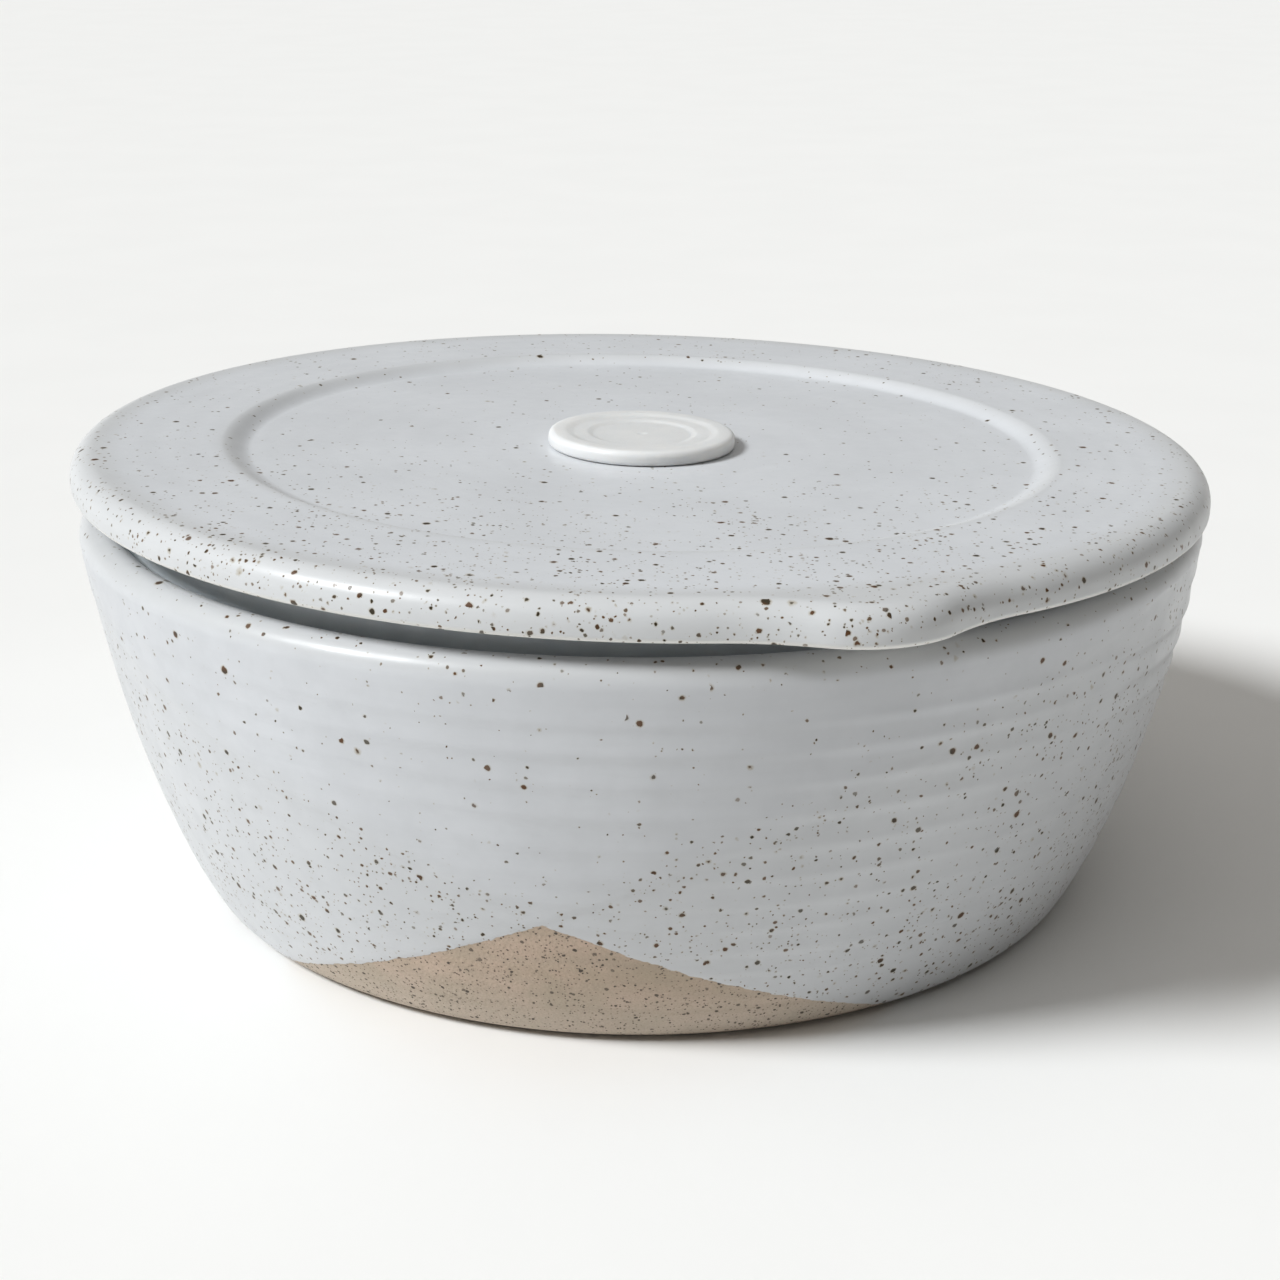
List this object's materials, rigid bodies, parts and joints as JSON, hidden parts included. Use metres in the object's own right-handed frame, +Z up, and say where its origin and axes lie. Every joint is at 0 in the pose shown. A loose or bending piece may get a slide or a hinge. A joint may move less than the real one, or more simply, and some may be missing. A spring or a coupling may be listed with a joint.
{
  "type": "lidded stoneware bowl",
  "caption": "Squat speckled stoneware crock with a shallow recessed lid, a lift tab on the lid's edge, a silicone gasket and a silicone vent plug.",
  "frame": {"origin": "middle of the circle that the foot stands on", "axes": "+Z up through the bowl's mouth, -Y towards the front, where the lift tab sits a little to the +X side"},
  "size_m": [0.2199, 0.2209, 0.0889],
  "materials": {
    "bowl_stoneware": "satin white glaze with iron specks over tan clay, bare at the foot",
    "lid_stoneware": "satin white glaze with iron specks",
    "gasket_silicone": "matte translucent silicone",
    "plug_silicone": "matte milky silicone"
  },
  "bodies": {
    "bowl": {"bowl": "bowl_stoneware"},
    "lid": {"lid": "lid_stoneware", "lid_gasket": "gasket_silicone"},
    "vent_plug": {"vent_plug": "plug_silicone"}
  },
  "joints": [
    {"name": "lid_lift", "type": "slide", "parent": "bowl", "child": "lid", "axis": [0, 0, 1], "range_m": [0, 0.12]},
    {"name": "vent_plug_pull", "type": "slide", "parent": "lid", "child": "vent_plug", "axis": [0.0244, 0.0095, 0.9997], "range_m": [0, 0.0044]}
  ]
}
